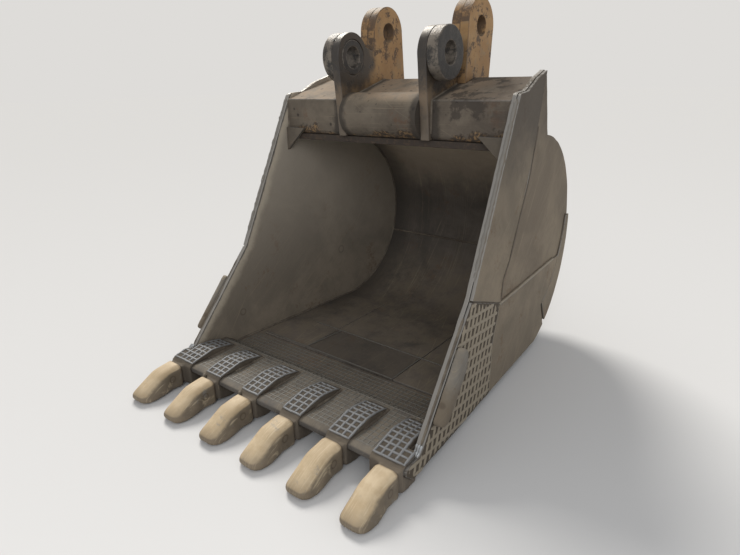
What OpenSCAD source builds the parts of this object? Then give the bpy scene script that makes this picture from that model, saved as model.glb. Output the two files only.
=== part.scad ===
// Digging bucket of a large tracked excavator, parked on its floor straps and tooth tips.
// Lengths are in millimetres. X runs across the bucket, to the right as seen from the mouth.
// Y runs from the tooth tips (0) to the back of the heel, and Z runs up from the ground (0).
// The model is moved as a whole at the end, so that its origin is the stick pin bore.

/* [Shell] */
// Width over the side plates at the lip
mouth_w = 1420; // [1340:10:1560]
// Angle by which each side plate closes in towards the heel
side_taper = 3.2; // [1:0.1:5]
// Thickness of the side plates
side_t = 20; // [14:1:30]
// Outer radius of the rolled back and heel
heel_r = 561; // [540:3:591]
// Distance from the tooth tips to the centre of the rolled heel
heel_y = 1524; // [1500:4:1560]
// Thickness of the upper wrapper plate
upper_t = 30; // [16:1:36]
// Thickness of the floor and heel plate
floor_t = 32; // [22:1:42]
// Angle below level at which the upper and lower wrapper plates meet
seam_angle = 20; // [5:1:35]
// How far the side plates stand out past the wrapper
edge_lap = 8; // [4:1:14]

/* [Mouth edge] */
// Distance back from the beam's front face to the top corner of the mouth
mouth_back = 20; // [10:2:34]
// Height of the top corner of the mouth above the wrapper's crown
mouth_rise = 206; // [190:2:220]
// Distance back from the tooth tips to the bend in the mouth edge
mouth_bend_y = 752; // [720:2:790]
// Height of the bend in the mouth edge
mouth_bend_z = 596; // [560:2:640]
// Radius of the bend in the mouth edge
mouth_bend_r = 180; // [100:10:260]
// Distance back to the foot of the mouth edge
mouth_foot_y = 353; // [345:1:380]
// Length of the side plate's top, from the mouth corner to its peak
tower_len = 320; // [300:5:340]
// Rise of the side plate's top from the mouth corner to its peak
tower_rise = 92; // [76:2:104]
// Distance from the mouth corner back to the foot of the side plate's rear edge
tower_foot = 461; // [440:3:485]

/* [Lip and teeth] */
// Distance from the tooth tips to the front edge of the lip
lip_y = 255; // [245:1:275]
// Thickness of the lip plate
lip_t = 75; // [60:1:90]
// Depth of the lip plate from front to back
lip_len = 365; // [320:5:420]
// Depth of the ramp behind the lip's top, down to the floor
lip_ramp = 60; // [40:5:90]
// Distance from the side plates' outer faces to the middle of the outermost teeth
tooth_edge = 55; // [50:1:64]
// Width of an adapter's legs
adapter_w = 110; // [92:1:116]
// Thickness of an adapter's top leg over the lip
adapter_leg_t = 32; // [26:1:42]
// Length of an adapter's top leg behind the lip's front edge
adapter_top_len = 275; // [220:5:300]
// Length of an adapter's bottom leg behind the lip's front edge
adapter_low_len = 150; // [110:5:190]
// Depth of the recessed collar between an adapter's pad and its tip
collar_len = 24; // [14:1:30]
// Width of a tooth tip at its rear
tip_w = 106; // [98:1:114]
// Greatest width of a tooth tip, near its rounded cutting end
tip_flare = 141; // [124:1:150]
// Height of a tooth tip at its rear
tip_h = 112; // [106:1:120]
// Width of an adapter's nose inside the tip
nose_w = 52; // [44:1:62]
// Clearance round an adapter's nose in the tip's socket
nose_gap = 1.5; // [0.5:0.5:3]
// Diameter of the pin that locks a tip on its adapter
tip_pin_d = 28; // [20:1:34]

/* [Top beam] */
// Distance from the tooth tips to the front face of the beam
beam_y = 1110; // [1095:1:1125]
// Height of the beam's front face
beam_h = 178; // [160:2:196]
// Depth of the beam's sloping top plate, measured level
beam_len = 330; // [300:5:350]
// Rise of the top plate from front to back
beam_rise = 94; // [70:2:110]
// Distance by which the beam's rear plate runs back at its foot
beam_skirt = 126; // [110:2:140]
// Thickness of the beam's plates
beam_t = 18; // [12:1:25]
// Radius of the beam's lower front edge
beam_round = 30; // [26:1:40]
// Radius of the round housing between the ears
housing_r = 105; // [100:1:110]
// Distance from the beam's front face back to the housing's axis
housing_in = 40; // [30:1:50]
// Width of the corner gussets under the beam
gusset_w = 130; // [110:2:150]
// Drop of the corner gussets below the wrapper's crown
gusset_drop = 90; // [76:1:104]
// Thickness of the corner gussets
gusset_t = 20; // [12:1:26]

/* [Hinge ears] */
// Clear distance between the ears
ear_gap = 446; // [400:2:480]
// Thickness of each ear
ear_t = 45; // [30:1:55]
// Distance from the beam's front face back to the stick pin
pin_back = 60; // [50:1:70]
// Height of the stick pin above the wrapper's crown
pin_rise = 371; // [360:1:390]
// Distance from the stick pin back to the link pin
link_back = 300; // [290:2:330]
// Rise from the stick pin to the link pin
link_up = 125; // [110:5:140]
// Bore for the stick pin
pin_bore = 100; // [80:1:110]
// Bore for the link pin
link_bore = 90; // [70:1:100]
// Outer radius of the stick pin boss and of the ear's front lobe
boss_r = 115; // [105:1:120]
// How far the boss stands out from the ear
boss_out = 58; // [40:1:80]
// Wall of the boss's sleeve where it passes through the ear
sleeve_wall = 32; // [20:1:40]
// Outer radius of the ear's rear lobe round the link pin
link_r = 125; // [115:1:130]
// Thickness of the doubler plate round the link pin
doubler_t = 45; // [30:1:55]
// Distance from the heel's centre back to the ears' rear foot
ear_foot = 130; // [110:2:150]

/* [Side armour] */
// Thickness of the side bars along the upper mouth edge
bar_t = 14; // [10:1:24]
// Distance from the mouth bend back to the side bar's rear corner
bar_foot_back = 318; // [300:2:336]
// Drop from the mouth bend to the side bar's rear corner
bar_foot_drop = 116; // [100:2:132]
// Thickness of the cheek plates at the lip's corners
cheek_t = 12; // [8:1:20]
// Distance from the mouth bend back to the cheek plate's rear edge
cheek_back = 256; // [240:2:270]
// Thickness of the lower side wear plates
wear_t = 10; // [6:1:18]
// Height of the lower side wear plates' straight top edge
wear_top = 460; // [440:2:474]
// Thickness of the crescent strips at the heel's corners
strip_t = 10; // [6:1:18]
// Width of the crescent strips at their lower end
strip_w = 145; // [120:5:160]
// How far the crescents' inner edge is set forward of the heel's edge
strip_in = 50; // [30:2:66]
// How far the armour is set back from the mouth edge
armour_back = 3; // [2:1:10]
// Clear gap between neighbouring armour plates
seam = 6; // [3:1:10]
// Thickness of the side protectors
guard_t = 48; // [36:1:56]
// Greatest width of the side protectors across the mouth edge
guard_w = 100; // [86:1:110]
// Drop from the mouth bend to the side protectors' top
guard_drop = 140; // [120:2:160]
// Height of the side protectors' foot above the lip
guard_foot = 86; // [70:2:110]

/* [Floor armour] */
// Thickness of the straps under the floor, which stand on the ground
strap_t = 42; // [30:1:50]
// Width of each floor strap
strap_w = 100; // [70:5:130]
// Distance from the side plates to the middle of the outermost straps at the heel
strap_edge = 87; // [80:1:110]
// Angle below level at which the straps end on the heel
strap_end = 25; // [15:1:35]
// Thickness of the liner plates on the floor
liner_t = 12; // [8:1:20]
// Distance from the lip's back to the liners' front edge
liner_back = 160; // [120:5:200]
// Width of the middle liner plate
liner_mid_w = 570; // [500:10:620]
// Gap between neighbouring liner plates
liner_gap = 3; // [2:1:8]

/* [Hidden] */
$fn = 96;
TEETH = 6;
STRAPS = 5;
// Steps in each rounded corner of an outline
STEPS = 6;
// Centre of the rolled heel, and the height of the wrapper's crown
heel_z = strap_t + heel_r;
crown_z = heel_z + heel_r;
side_r = heel_r + edge_lap;
side_low = strap_t - edge_lap;
floor_z = strap_t + floor_t;
lip_z = strap_t + lip_t;
lip_back = lip_y + lip_len;
mouth_top = [beam_y + mouth_back, crown_z + mouth_rise];
mouth_bend = [mouth_bend_y, mouth_bend_z];
mouth_foot = [mouth_foot_y, lip_z];
beam_back = beam_y + beam_len;
ear_in = ear_gap / 2;
ear_out = ear_in + ear_t;
pin_y = beam_y + pin_back;
pin_z = crown_z + pin_rise;
link_y = pin_y + link_back;
link_z = pin_z + link_up;
tooth_pitch = (mouth_w - 2 * tooth_edge) / (TEETH - 1);
// Length that is longer than the whole bucket, and a small overlap, for cutting
BIG = 4000;
CUT = 1;

teeth = [for (i = [1 : TEETH]) str("tooth_tip_", i)];
adapters = [for (i = [1 : TEETH]) str("adapter_", i)];

DUSTY = [0.50, 0.46, 0.41];
WORN = [0.62, 0.63, 0.65];
TAN = [0.78, 0.68, 0.52];
EAR_PAINT = [0.66, 0.51, 0.33];
GREASE = [0.16, 0.15, 0.15];

// Unit vector along v
function unit(v) = v / norm(v);

// Arc of radius r that rounds the corner at b between its neighbours a and c
function arc_corner(a, b, c, r) =
    let (u = unit(a - b), v = unit(c - b), half = acos(u * v) / 2)
    let (centre = b + unit(u + v) * r / sin(half), start = b + u * r / tan(half) - centre)
    let (turn = (u.x * v.y - u.y * v.x > 0 ? -1 : 1) * (180 - 2 * half), a0 = atan2(start.y, start.x))
    [for (i = [0 : STEPS]) centre + r * [cos(a0 + turn * i / STEPS), sin(a0 + turn * i / STEPS)]];

// Outline through corners given as [y, z, radius]
function rounded(p) =
    let (n = len(p), at = [for (q = p) [q[0], q[1]]])
    [for (i = [0 : n - 1]) each p[i][2] > 0
        ? arc_corner(at[(i + n - 1) % n], at[i], at[(i + 1) % n], p[i][2]) : [at[i]]];

// Normal to the left of the way from a to b
function left_of(a, b) = let (d = unit(b - a)) [-d.y, d.x];

// Outline with corners [y, z, radius], in anticlockwise order, moved inwards by t
function inset(p, t) =
    let (n = len(p), at = [for (q = p) [q[0], q[1]]])
    [for (i = [0 : n - 1])
        let (n1 = left_of(at[(i + n - 1) % n], at[i]), n2 = left_of(at[i], at[(i + 1) % n]))
        let (q = at[i] + (n1 + n2) * t / (1 + n1 * n2))
        [q.x, q.y, max(p[i][2] - t, 0)]];

// Point at height z on the straight line through a and b
function at_height(a, b, z) = [a.x + (b.x - a.x) * (z - a.y) / (b.y - a.y), z];

// Half of the width over the side plates at a distance y from the tooth tips
function outer_half(y) = mouth_w / 2 - (y - lip_y) * tan(side_taper);

// Half of the clear width between the side plates
function inner_half(y) = outer_half(y) - side_t / cos(side_taper);

// Extrudes an outline in Y and Z from x0 to x1
module across(x0, x1) translate([x0, 0, 0]) rotate([90, 0, 90]) linear_extrude(x1 - x0) children();

// Turns what stands on the plane x = 0 so that it stands on the right side plate's outer face
module beside()
    translate([mouth_w / 2, lip_y, 0]) rotate([0, 0, side_taper]) translate([0, -lip_y, 0]) children();

// Extrudes an outline in Y and Z along the right side plate, from out to out + t beyond its face
module on_side(out, t) beside() across(out, out + t) children();

// Keeps what lies between the side plates' inner faces, or their outer faces
module within_sides(outer = false)
    intersection() {
        children();
        translate([0, 0, -CUT]) linear_extrude(BIG) polygon([for (e = [[-1, 0], [1, 0], [1, BIG], [-1, BIG]])
            [e[0] * (outer ? outer_half(e[1]) : inner_half(e[1])), e[1]]]);
    }

module left() mirror([1, 0, 0]) children();

// Bore of diameter d along X through the point [y, z], from x0 to x1
module bore(d, at, x0, x1)
    translate([x0 - CUT, at.x, at.y]) rotate([0, 90, 0]) cylinder(d = d, h = x1 - x0 + 2 * CUT);

// Sector of a disc of radius r about the heel's centre
module heel_sector(r, a0, a1) translate([heel_y, heel_z]) intersection() {
    circle(r);
    polygon([[0, 0], for (i = [0 : 2]) 2 * r * [cos(a0 + (a1 - a0) * i / 2), sin(a0 + (a1 - a0) * i / 2)]]);
}

module heel_disc(r) translate([heel_y, heel_z]) circle(r);

// Sector of a ring of outer radius r and thickness t about the heel's centre
module heel_ring(r, t, a0, a1) difference() {
    heel_sector(r, a0, a1);
    heel_disc(r - t);
}

// Shell

// Corners of the side plate's top, as [share of tower_len, share of tower_rise, radius as a share of
// that rise]
tower_top = [[1.13, 0.72, 0.22], [1, 1, 0.27], [0.64, 0.63, 0.33], [0.30, 0.09, 0.43]];

module side_outline() {
    heel_disc(side_r);
    polygon(rounded([
        [mouth_foot.x, mouth_foot.y, 0], [lip_back - lip_ramp, lip_z, 0],
        [lip_back, floor_z, 0], [lip_back, side_low, 0],
        [heel_y, side_low, 0], [mouth_top.x + tower_foot, crown_z - edge_lap, 0],
        for (c = tower_top)
            [mouth_top.x + c[0] * tower_len, mouth_top.y + c[1] * tower_rise, c[2] * tower_rise],
        [mouth_top.x, mouth_top.y, 0.33 * tower_rise], [mouth_bend.x, mouth_bend.y, mouth_bend_r]]));
}

module side_plate() color(DUSTY) on_side(-side_t, side_t) side_outline();

module wrapper_upper() color(DUSTY) within_sides() across(-mouth_w, mouth_w) {
    heel_ring(heel_r, upper_t, -seam_angle, 90);
    translate([beam_y + edge_lap, crown_z - upper_t]) square([heel_y - beam_y - edge_lap, upper_t]);
}

module wrapper_lower() color(DUSTY) within_sides() across(-mouth_w, mouth_w) {
    heel_ring(heel_r, floor_t, -90, -seam_angle);
    translate([lip_back, strap_t]) square([heel_y - lip_back, floor_t]);
}

// Lip, with a blunt front edge over a bevel
lip_bevel = 0.7 * lip_t;
lip_blunt = 0.4 * lip_t;
lip_chamfer = 0.13 * lip_t;

module lip_outline() polygon([
    [lip_y, lip_z - lip_blunt], [lip_y + lip_bevel, strap_t], [lip_back, strap_t], [lip_back, floor_z],
    [lip_back - lip_ramp, lip_z], [lip_y + 2 * lip_chamfer, lip_z], [lip_y, lip_z - lip_chamfer]]);

module lip() color(WORN) within_sides(outer = true) across(-mouth_w, mouth_w) lip_outline();

// Top beam

beam_corners = [[beam_y, crown_z, beam_round], [beam_back + beam_skirt, crown_z, 0],
    [beam_back, crown_z + beam_h + beam_rise, beam_t], [beam_y, crown_z + beam_h, beam_t / 2]];

module beam_outline() polygon(rounded(beam_corners));

module beam_hollow() polygon(rounded(inset(beam_corners, beam_t)));

module beam_side() color(DUSTY) within_sides() across(ear_out, mouth_w) difference() {
    beam_outline();
    beam_hollow();
}

module housing_disc(r) translate([beam_y + housing_in, crown_z + housing_r - CUT]) circle(r);

// The ears close the beam's ends here, and plates of its own close the round housing's
module beam_center() color(DUSTY) difference() {
    across(-ear_in, ear_in) {
        beam_outline();
        intersection() {
            housing_disc(housing_r);
            translate([0, crown_z]) square(BIG);
        }
    }
    across(-ear_in - CUT, ear_in + CUT) beam_hollow();
    across(-ear_in + beam_t, ear_in - beam_t) intersection() {
        housing_disc(housing_r - beam_t);
        translate([0, crown_z + beam_t]) square(BIG);
    }
}

module gusset() color(DUSTY) within_sides()
    translate([0, beam_y, 0]) rotate([90, 0, 0]) linear_extrude(gusset_t) {
        side_x = inner_half(beam_y);
        polygon([[side_x - gusset_w, crown_z + beam_round], [mouth_w / 2, crown_z + beam_round],
            [mouth_w / 2, crown_z - gusset_drop], [side_x, crown_z - gusset_drop]]);
    }

// Hinge ears

pin_at = [pin_y, pin_z];
link_at = [link_y, link_z];

// Corners of the ear between its two lobes and its foot
ear_web = [[beam_y - ear_t / 3, crown_z], [heel_y + ear_foot, crown_z - ear_t], [link_y + link_r, link_z],
    [link_y - link_r, link_z], [link_y - 1.1 * link_r, pin_z + 0.3 * boss_r],
    [pin_y + 0.74 * boss_r, pin_z + 0.48 * boss_r], [pin_y - boss_r, pin_z]];

module ear_outline() difference() {
    union() {
        translate(pin_at) circle(boss_r);
        translate(link_at) circle(link_r);
        polygon(ear_web);
    }
    heel_disc(heel_r);
    translate([0, crown_z - BIG]) square([heel_y, BIG]);
}

module ear() color(EAR_PAINT) difference() {
    across(ear_in, ear_out) ear_outline();
    bore(pin_bore + 2 * sleeve_wall, pin_at, ear_in, ear_out);
    bore(link_bore, link_at, ear_in, ear_out);
}

module stick_boss() color(GREASE) difference() {
    translate([0, pin_y, pin_z]) rotate([0, 90, 0]) {
        translate([0, 0, ear_in]) cylinder(r = pin_bore / 2 + sleeve_wall, h = ear_t + boss_out);
        translate([0, 0, ear_out]) cylinder(r = boss_r, h = boss_out);
    }
    bore(pin_bore, pin_at, ear_in, ear_out + boss_out);
}

module link_doubler() color(EAR_PAINT) difference() {
    across(ear_out, ear_out + doubler_t) difference() {
        union() {
            translate(link_at) circle(link_r);
            polygon([[link_y - 1.16 * link_r, crown_z], [heel_y + ear_foot / 4, crown_z + beam_round],
                [link_y + link_r, link_z], [link_y - link_r, link_z]]);
        }
        beam_outline();
        heel_disc(heel_r);
    }
    bore(link_bore, link_at, ear_out, ear_out + doubler_t);
}

// Side armour

bar_foot = mouth_bend + [bar_foot_back, -bar_foot_drop];
cheek_rear = mouth_bend.x + cheek_back;
// Directions along the lower mouth edge, and along the joint between side bar and cheek plate
lower_dir = unit(mouth_bend - mouth_foot);
joint_dir = unit(mouth_bend - bar_foot);
joint_front = bar_foot + (norm(mouth_bend - bar_foot) + bar_foot_drop) * joint_dir;
// Angles at which the heel strips start and end, seen from the heel's centre
strip_from = -60;
strip_to = 8;

// Corners of the side bar's rear edge, as shares of the way from its foot to the side plate's peak
bar_rear = [[0.03, 0.10], [0.18, 0.18], [0.39, 0.33], [0.64, 0.52], [0.82, 0.74]];
tower_peak = mouth_top + [tower_len, tower_rise];
bar_way = tower_peak - bar_foot;

// What armour may cover: the side plate, drawn in from its edges, and the end of the lip
module armour_outline() {
    translate([armour_back, -armour_back]) side_outline();
    lip_outline();
}

module side_bar() color(DUSTY) on_side(0, bar_t) intersection() {
    armour_outline();
    polygon([bar_foot, for (s = bar_rear) bar_foot + [s[0] * bar_way.x, s[1] * bar_way.y],
        tower_peak, [mouth_bend.x - bar_foot_back, tower_peak.y + BIG], joint_front]);
}

module cheek_plate() color(WORN) on_side(0, cheek_t) difference() {
    intersection() {
        armour_outline();
        polygon([bar_foot - [0, seam], joint_front - [0, seam], [0, mouth_bend.y], [0, strap_t],
            [cheek_rear, strap_t], [cheek_rear, 0.6 * bar_foot.y]]);
    }
    translate([0, -BIG]) square([BIG, BIG + strap_t]);
}

module strip_outline(gap) difference() {
    heel_sector(side_r + gap, strip_from - gap / 2, strip_to + gap / 2);
    translate([-strip_in, strip_w]) heel_disc(side_r - gap);
}

module wear_plate() color(DUSTY) on_side(0, wear_t) difference() {
    intersection() {
        armour_outline();
        polygon([[cheek_rear + seam, strap_t], [cheek_rear + seam, 0.6 * bar_foot.y],
            [bar_foot.x + seam, bar_foot.y - 2 * seam], [bar_foot.x + 4 * seam, wear_top],
            [BIG, wear_top], [BIG, strap_t]]);
    }
    strip_outline(seam);
}

module heel_strip() color(DUSTY) on_side(0, strip_t) strip_outline(0);

// Ends of the protector on the lower mouth edge, and its length along that edge
guard_low = at_height(mouth_foot, mouth_bend, lip_z + guard_foot);
guard_high = at_height(mouth_foot, mouth_bend, mouth_bend.y - guard_drop);
guard_len = norm(guard_high - guard_low);

// Outline of the protector, as [share of its length, share of its width, radius as a share of its width]
guard_fin = [[0.01, 0, 0.12], [0.08, 0.66, 0.3], [0.38, 0.80, 0.4], [0.58, 1, 0.3], [0.74, 0.90, 0.3],
    [0.98, 0.22, 0.12], [1, 0, 0.1]];

// Section of the protector across the mouth edge, as [share of its thickness, share of its width]
guard_wedge = [[0, 0], [0.7, 0], [0.92, 0.10], [1, 0.28], [0.86, 0.72], [0.36, 1], [0, 1]];

module side_protector() color(TAN) intersection() {
    on_side(cheek_t, guard_t) polygon(rounded([for (c = guard_fin)
        concat(guard_low + c[0] * guard_len * lower_dir + c[1] * guard_w * [lower_dir.y, -lower_dir.x],
            c[2] * guard_w)]));
    beside() translate([0, guard_low.x, guard_low.y]) rotate([-atan2(lower_dir.x, lower_dir.y), 0, 0])
        linear_extrude(guard_len) polygon([for (c = guard_wedge) [cheek_t + c[0] * guard_t, c[1] * guard_w]]);
}

// Floor armour

strap_pitch = 2 * (inner_half(heel_y + heel_r) - strap_edge) / (STRAPS - 1);
strap_front = lip_back + lip_ramp / 3;

module floor_straps() color(DUSTY) for (i = [0 : STRAPS - 1]) {
    x = (i - (STRAPS - 1) / 2) * strap_pitch;
    across(x - strap_w / 2, x + strap_w / 2) {
        heel_ring(heel_r + strap_t, strap_t, -90, -strap_end);
        translate([strap_front, 0]) square([heel_y - strap_front, strap_t]);
    }
}

module liner(x0, x1) translate([x0, lip_back + liner_back, floor_z])
    cube([x1 - x0, heel_y - lip_back - liner_back - 3 * seam, liner_t]);

module floor_liners() color(DUSTY) {
    side_x = inner_half(heel_y) - 2 * seam;
    liner(-liner_mid_w / 2, liner_mid_w / 2);
    liner(liner_mid_w / 2 + liner_gap, side_x);
    liner(-side_x, -liner_mid_w / 2 - liner_gap);
}

// Teeth

tip_len = lip_y - collar_len;
tip_low = 0.27 * strap_t;
tip_mid_z = tip_low + tip_h / 2;
nose_y = 0.41 * tip_len;
lock_y = 0.75 * tip_len;
// Ground clearance of the adapters' bottom legs
leg_low = 0.1 * strap_t;
// Depth of an outermost adapter's full front over the lip, and the shift of its legs behind it
front_len = 0.9 * (mouth_foot_y - lip_y);
// Front of an adapter's full width, ahead of which its collar is narrower
block_y = lip_y - 0.4 * collar_len;
corner_shift = (TEETH - 1) / 2 * tooth_pitch + adapter_w / 2 - inner_half(lip_y + adapter_top_len) + seam;

// Top of an adapter over the lip, as [share of the top leg's length, share of its thickness]
leg_top = [[1, 0], [1, 0.2], [0.86, 0.56], [0.66, 0.9], [0.48, 1], [0.28, 0.66], [0.02, 0.2]];

// Crown of a tooth tip, as [share of its length, share of its rear height, radius as a share of that height]
tip_crown = [[1, 1, 0.12], [0.64, 0.95, 0.9], [0.38, 0.72, 0.8], [0.14, 0.41, 0.5], [0.02, 0.26, 0.1]];

// Half of a tip's arched section, as [share of its greatest width, share of its rear height below the
// crown, radius as a share of that height]
tip_section = [[0.20, 0, 0.14], [0.34, 0.13, 0.2], [0.52, 0.62, 0.3], [0.52, 2, 0]];

// Half of a tooth tip's plan, as [share of half of its greatest width, share of its length, radius as a
// share of its rear height]
tip_half = [[0.48, 0, 0.2], [0.88, 0.13, 0.35], [1, 0.34, 0.5],
    [tip_w / tip_flare, 0.74, 0.6], [tip_w / tip_flare, 1, 0.06]];

// The nose's and the socket's side outline, grown by a gap
module nose_outline(gap) polygon([
    [nose_y - gap, tip_mid_z - 0.27 * tip_h - gap], [tip_len + CUT, tip_mid_z - 0.38 * tip_h - gap],
    [tip_len + CUT, tip_mid_z + 0.34 * tip_h + gap], [nose_y - gap, tip_mid_z - 0.02 * tip_h + gap]]);

module leg_outline() difference() {
    polygon([[tip_len, tip_mid_z - 0.44 * tip_h], [lip_y + 2 * collar_len, leg_low],
        [lip_y + 0.8 * adapter_low_len, leg_low], [lip_y + adapter_low_len, strap_t],
        for (s = leg_top) [lip_y + s[0] * adapter_top_len, lip_z + s[1] * adapter_leg_t],
        [block_y, lip_z - lip_chamfer], [tip_len, tip_mid_z + 0.37 * tip_h]]);
    lip_outline();
    translate([lip_y + lip_bevel, strap_t]) square([adapter_top_len, lip_t]);
}

// The adapter's legs between two distances back, w wide about x
module legs(x, w, y0, y1) across(x - w / 2, x + w / 2) intersection() {
    leg_outline();
    translate([y0, 0]) square([y1 - y0, BIG]);
}

// The outermost adapters' legs stand inwards of their noses, to clear the side plates
module adapter_at(i) color(WORN) difference() {
    x = (i - (TEETH + 1) / 2) * tooth_pitch;
    leg_x = x + (i == 1 ? corner_shift : i == TEETH ? -corner_shift : 0);
    union() {
        legs(leg_x, adapter_w, block_y, BIG);
        within_sides(outer = true) legs(x, adapter_w, block_y, lip_y + front_len);
        legs(x, 0.84 * adapter_w, tip_len, lip_y);
        across(x - nose_w / 2, x + nose_w / 2) nose_outline(0);
    }
    bore(tip_pin_d, [lock_y, tip_mid_z], x - adapter_w, x + adapter_w);
}

module tip_side() polygon(rounded([
    [0, 0.19 * tip_h, 0.09 * tip_h], [0.06 * tip_len, 0, 0.07 * tip_h], [tip_len, tip_low, 0.07 * tip_h],
    for (c = tip_crown) [c[0] * tip_len, tip_low + c[1] * tip_h, c[2] * tip_h]]));

// Point of a tip's plan on one side (-1 or 1)
function plan_point(c, side) = [side * c[0] * tip_flare / 2, c[1] * tip_len, c[2] * tip_h];

module tip_plan() polygon(rounded([for (c = tip_half) plan_point(c, 1),
    for (i = [len(tip_half) - 1 : -1 : 0]) plan_point(tip_half[i], -1)]));

// Point of a tip's arched section on one side (-1 or 1)
function section_point(c, side) = [side * c[0] * tip_flare, -c[1] * tip_h, c[2] * tip_h];

// Long arch whose crown passes through the point [y, z] and falls towards the tip's end by an angle
module tip_arch(at, fall)
    translate([0, at.x, at.y]) rotate([90 + fall, 0, 0]) translate([0, 0, -BIG / 2]) linear_extrude(BIG)
        polygon(rounded([for (i = [len(tip_section) - 1 : -1 : 0]) section_point(tip_section[i], 1),
            for (c = tip_section) section_point(c, -1)]));

module tip_at(i) color(TAN) translate([(i - (TEETH + 1) / 2) * tooth_pitch, 0, 0]) difference() {
    intersection() {
        across(-tip_flare, tip_flare) tip_side();
        linear_extrude(tip_mid_z + tip_h) tip_plan();
        tip_arch([tip_len, tip_low + tip_h], 6);
        tip_arch([0.4 * tip_len, tip_low + 0.72 * tip_h], 29);
    }
    across(-nose_w / 2 - nose_gap, nose_w / 2 + nose_gap) nose_outline(nose_gap);
    bore(tip_pin_d, [lock_y, tip_mid_z], -tip_w, tip_w);
}

module tip_pins() color(WORN) for (i = [1 : TEETH])
    translate([(i - (TEETH + 1) / 2) * tooth_pitch - tip_w / 2, lock_y, tip_mid_z]) rotate([0, 90, 0])
        cylinder(d = tip_pin_d, h = tip_w);

// Moves the parked bucket so that the stick pin bore's centre is the origin
module parked() translate([0, -pin_y, -pin_z]) children();

parked() left() side_plate();  // side_plate_left
parked() side_plate();  // side_plate_right
parked() wrapper_upper();
parked() wrapper_lower();
parked() lip();
parked() left() beam_side();  // beam_left
parked() beam_center();
parked() beam_side();  // beam_right
parked() left() ear();  // ear_left
parked() ear();  // ear_right
parked() left() stick_boss();  // stick_boss_left
parked() stick_boss();  // stick_boss_right
parked() left() link_doubler();  // link_doubler_left
parked() link_doubler();  // link_doubler_right
parked() left() gusset();  // gusset_left
parked() gusset();  // gusset_right
parked() left() side_bar();  // side_bar_left
parked() side_bar();  // side_bar_right
parked() left() cheek_plate();  // cheek_plate_left
parked() cheek_plate();  // cheek_plate_right
parked() left() wear_plate();  // wear_plate_left
parked() wear_plate();  // wear_plate_right
parked() left() heel_strip();  // heel_strip_left
parked() heel_strip();  // heel_strip_right
parked() left() side_protector();  // side_protector_left
parked() side_protector();  // side_protector_right
parked() floor_straps();
parked() floor_liners();
parked() tip_pins();
for (i = [1 : TEETH]) parked() adapter_at(i);
for (i = [1 : TEETH]) parked() tip_at(i);
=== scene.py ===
import math
import random

import bmesh
import bpy
from mathutils import Matrix, Vector, noise


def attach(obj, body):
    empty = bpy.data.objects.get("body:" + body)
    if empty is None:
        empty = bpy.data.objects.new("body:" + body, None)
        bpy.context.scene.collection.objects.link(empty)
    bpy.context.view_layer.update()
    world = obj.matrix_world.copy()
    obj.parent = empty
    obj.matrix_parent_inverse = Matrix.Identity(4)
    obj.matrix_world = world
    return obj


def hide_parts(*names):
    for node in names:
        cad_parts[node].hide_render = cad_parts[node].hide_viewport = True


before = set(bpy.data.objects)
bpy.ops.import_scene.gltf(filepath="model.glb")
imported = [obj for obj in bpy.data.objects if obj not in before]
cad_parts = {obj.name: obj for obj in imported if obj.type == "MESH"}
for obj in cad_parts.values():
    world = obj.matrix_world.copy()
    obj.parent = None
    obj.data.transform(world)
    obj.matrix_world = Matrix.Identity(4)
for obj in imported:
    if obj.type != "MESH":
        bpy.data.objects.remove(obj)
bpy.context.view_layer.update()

# Sizes of the parked bucket, in metres. A pair is a distance back from the tooth tips and a height above the
# ground, and widths count from the bucket's middle plane.
PIN = Vector((0, 1.170, 1.535))
HALF_W = 0.710
SIDE_T = 0.020
TAPER = math.radians(3.2)
LIP_Y, LIP_BACK, LIP_RAMP = 0.255, 0.620, 0.560
LIP_TOP, FLOOR_TOP, LINER_TOP = 0.117, 0.074, 0.086
LINER_X = 0.285
CROWN, BEAM_Y, BEAM_TOP = 1.164, 1.110, 1.342
HEEL_Y, HEEL_Z, HEEL_R = 1.524, 0.603, 0.561
UPPER_T = 0.030
MOUTH_TOP, MOUTH_BEND, MOUTH_FOOT = (1.130, 1.370), (0.752, 0.596), (0.353, 0.117)
TEETH, TOOTH_PITCH = 6, 0.262
PAD_HALF, PAD_SHIFT, PAD_FRONT = 0.055, 0.0414, 0.343
LOCK_Y, LOCK_Z = 0.173, 0.0673
EAR_IN, EAR_OUT = 0.223, 0.268
CHEEK_REAR = 1.008
random.seed(7)


def parked(x, y, z):
    """A point of the parked bucket in the row's frame."""
    return Vector((x, y, z)) - PIN


def beside(side, out, y, z):
    """A point on the left (-1) or right (1) side plate, out metres beyond its outer face."""
    back = y - LIP_Y
    x = HALF_W + out * math.cos(TAPER) - back * math.sin(TAPER)
    return parked(side * x, LIP_Y + out * math.sin(TAPER) + back * math.cos(TAPER), z)


def inner_half(y):
    """Half of the clear width between the side plates at a distance back."""
    return HALF_W - (y - LIP_Y) * math.tan(TAPER) - SIDE_T / math.cos(TAPER)


def tooth_x(i):
    """Middle of tooth i, counted from 0 at the left."""
    return (i - (TEETH - 1) / 2) * TOOTH_PITCH


def pad_shift(i):
    """How far the pad of adapter i stands aside from its tooth: the outermost ones stand inwards."""
    return {0: PAD_SHIFT, TEETH - 1: -PAD_SHIFT}.get(i, 0.0)


# Shader maths

def tone(red, green, blue):
    """A colour given as it looks on a screen, 0 to 255, in the linear values that a shader takes."""
    def linear(value):
        value /= 255
        return value / 12.92 if value <= 0.04045 else ((value + 0.055) / 1.055) ** 2.4
    return (linear(red), linear(green), linear(blue), 1.0)


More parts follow.
